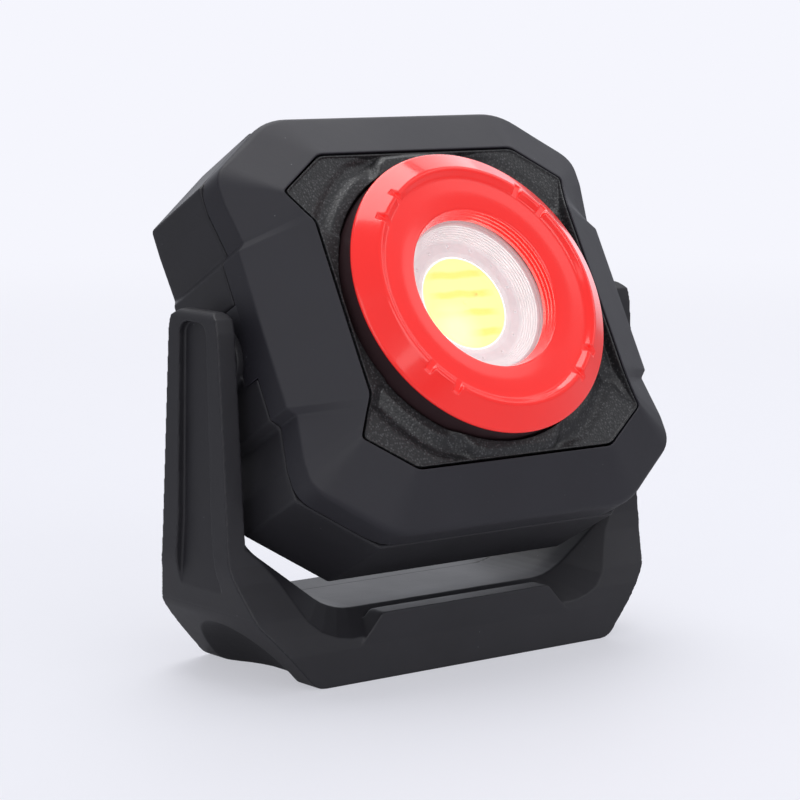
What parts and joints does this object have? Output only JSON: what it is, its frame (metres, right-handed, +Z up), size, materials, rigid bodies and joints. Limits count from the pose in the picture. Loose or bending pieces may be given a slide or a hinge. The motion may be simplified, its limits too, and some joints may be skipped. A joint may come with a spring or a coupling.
{
  "type": "work light",
  "caption": "Square lamp head with cut corners, red ring and round flood lens, tilting between the arms of a moulded U stand.",
  "frame": {"origin": "centre of the stand's foot on the ground", "axes": "+Z up, the lamp looks towards -Y and upwards, +X to the lamp's own left as seen from behind, to the right as seen from the front"},
  "size_m": [0.121, 0.0816, 0.1242],
  "materials": {
    "moulded_black": "fine satin moulded plastic",
    "bezel_rubber": "smooth matte over-moulded rubber",
    "grained_black": "leather-grained plastic",
    "collar_black": "smooth satin plastic",
    "ring_red": "glossy",
    "button_red": "matte",
    "flap_rubber": "matte",
    "foot_rubber": "matte",
    "fibre_black": "pressed fibre",
    "clear_lens": "clear",
    "gauge_clear": "frosted clear",
    "reflector_white": "satin white",
    "led_yellow": "phosphor",
    "board_white": "solder mask",
    "board_green": "solder mask",
    "chip_black": "moulded",
    "holder_grey": "moulded",
    "cell_sleeve": "shrink sleeve",
    "wire_red": "PVC",
    "thermal_grey": "soft pad",
    "sink_aluminium": "die cast",
    "plated_steel": "zinc plated",
    "raw_steel": "spring steel",
    "brass": "turned"
  },
  "bodies": {
    "stand": {"stand_frame": "moulded_black", "base_cover": "grained_black", "base_screws": "plated_steel", "base_magnets": "plated_steel", "magnet_cups": "raw_steel", "foot_pads": "foot_rubber", "arm_inserts": "brass", "pivot_bolts": "plated_steel", "wave_washers": "raw_steel", "friction_discs": "fibre_black"},
    "head": {"front_bezel": "bezel_rubber", "front_panel": "grained_black", "lamp_collar": "collar_black", "lens_ring": "ring_red", "ring_screws": "plated_steel", "clear_lens": "clear_lens", "lens_seal": "foot_rubber", "reflector": "reflector_white", "led_disc": "led_yellow", "led_board": "board_white", "led_screws": "plated_steel", "thermal_pad": "thermal_grey", "heat_sink": "sink_aluminium", "housing_gasket": "foot_rubber", "rear_housing": "moulded_black", "case_screws": "plated_steel", "pivot_bushes": "brass", "battery_cells": "cell_sleeve", "battery_holder": "holder_grey", "driver_board": "board_green", "board_parts": "chip_black", "board_screws": "plated_steel", "tact_switch": "holder_grey", "usb_socket": "plated_steel", "gauge_window": "gauge_clear", "led_wires": "wire_red", "battery_wires": "wire_red", "port_cover_pin": "plated_steel"},
    "power_button": {"power_button": "button_red"},
    "port_cover": {"port_cover": "flap_rubber"}
  },
  "joints": [
    {"name": "head_tilt", "type": "hinge", "parent": "stand", "child": "head", "pos_m": [0, 0, 0.0718], "axis": [1, 0, 0], "continuous": true},
    {"name": "button_press", "type": "slide", "parent": "head", "child": "power_button", "axis": [0, -0.8763, 0.4818], "range_m": [0, 0.0006], "stiffness_N_per_m": 400},
    {"name": "port_cover_hinge", "type": "hinge", "parent": "head", "child": "port_cover", "pos_m": [0.02, 0.03231, 0.08782], "axis": [1, 0, 0], "range_deg": [0, 110]}
  ]
}
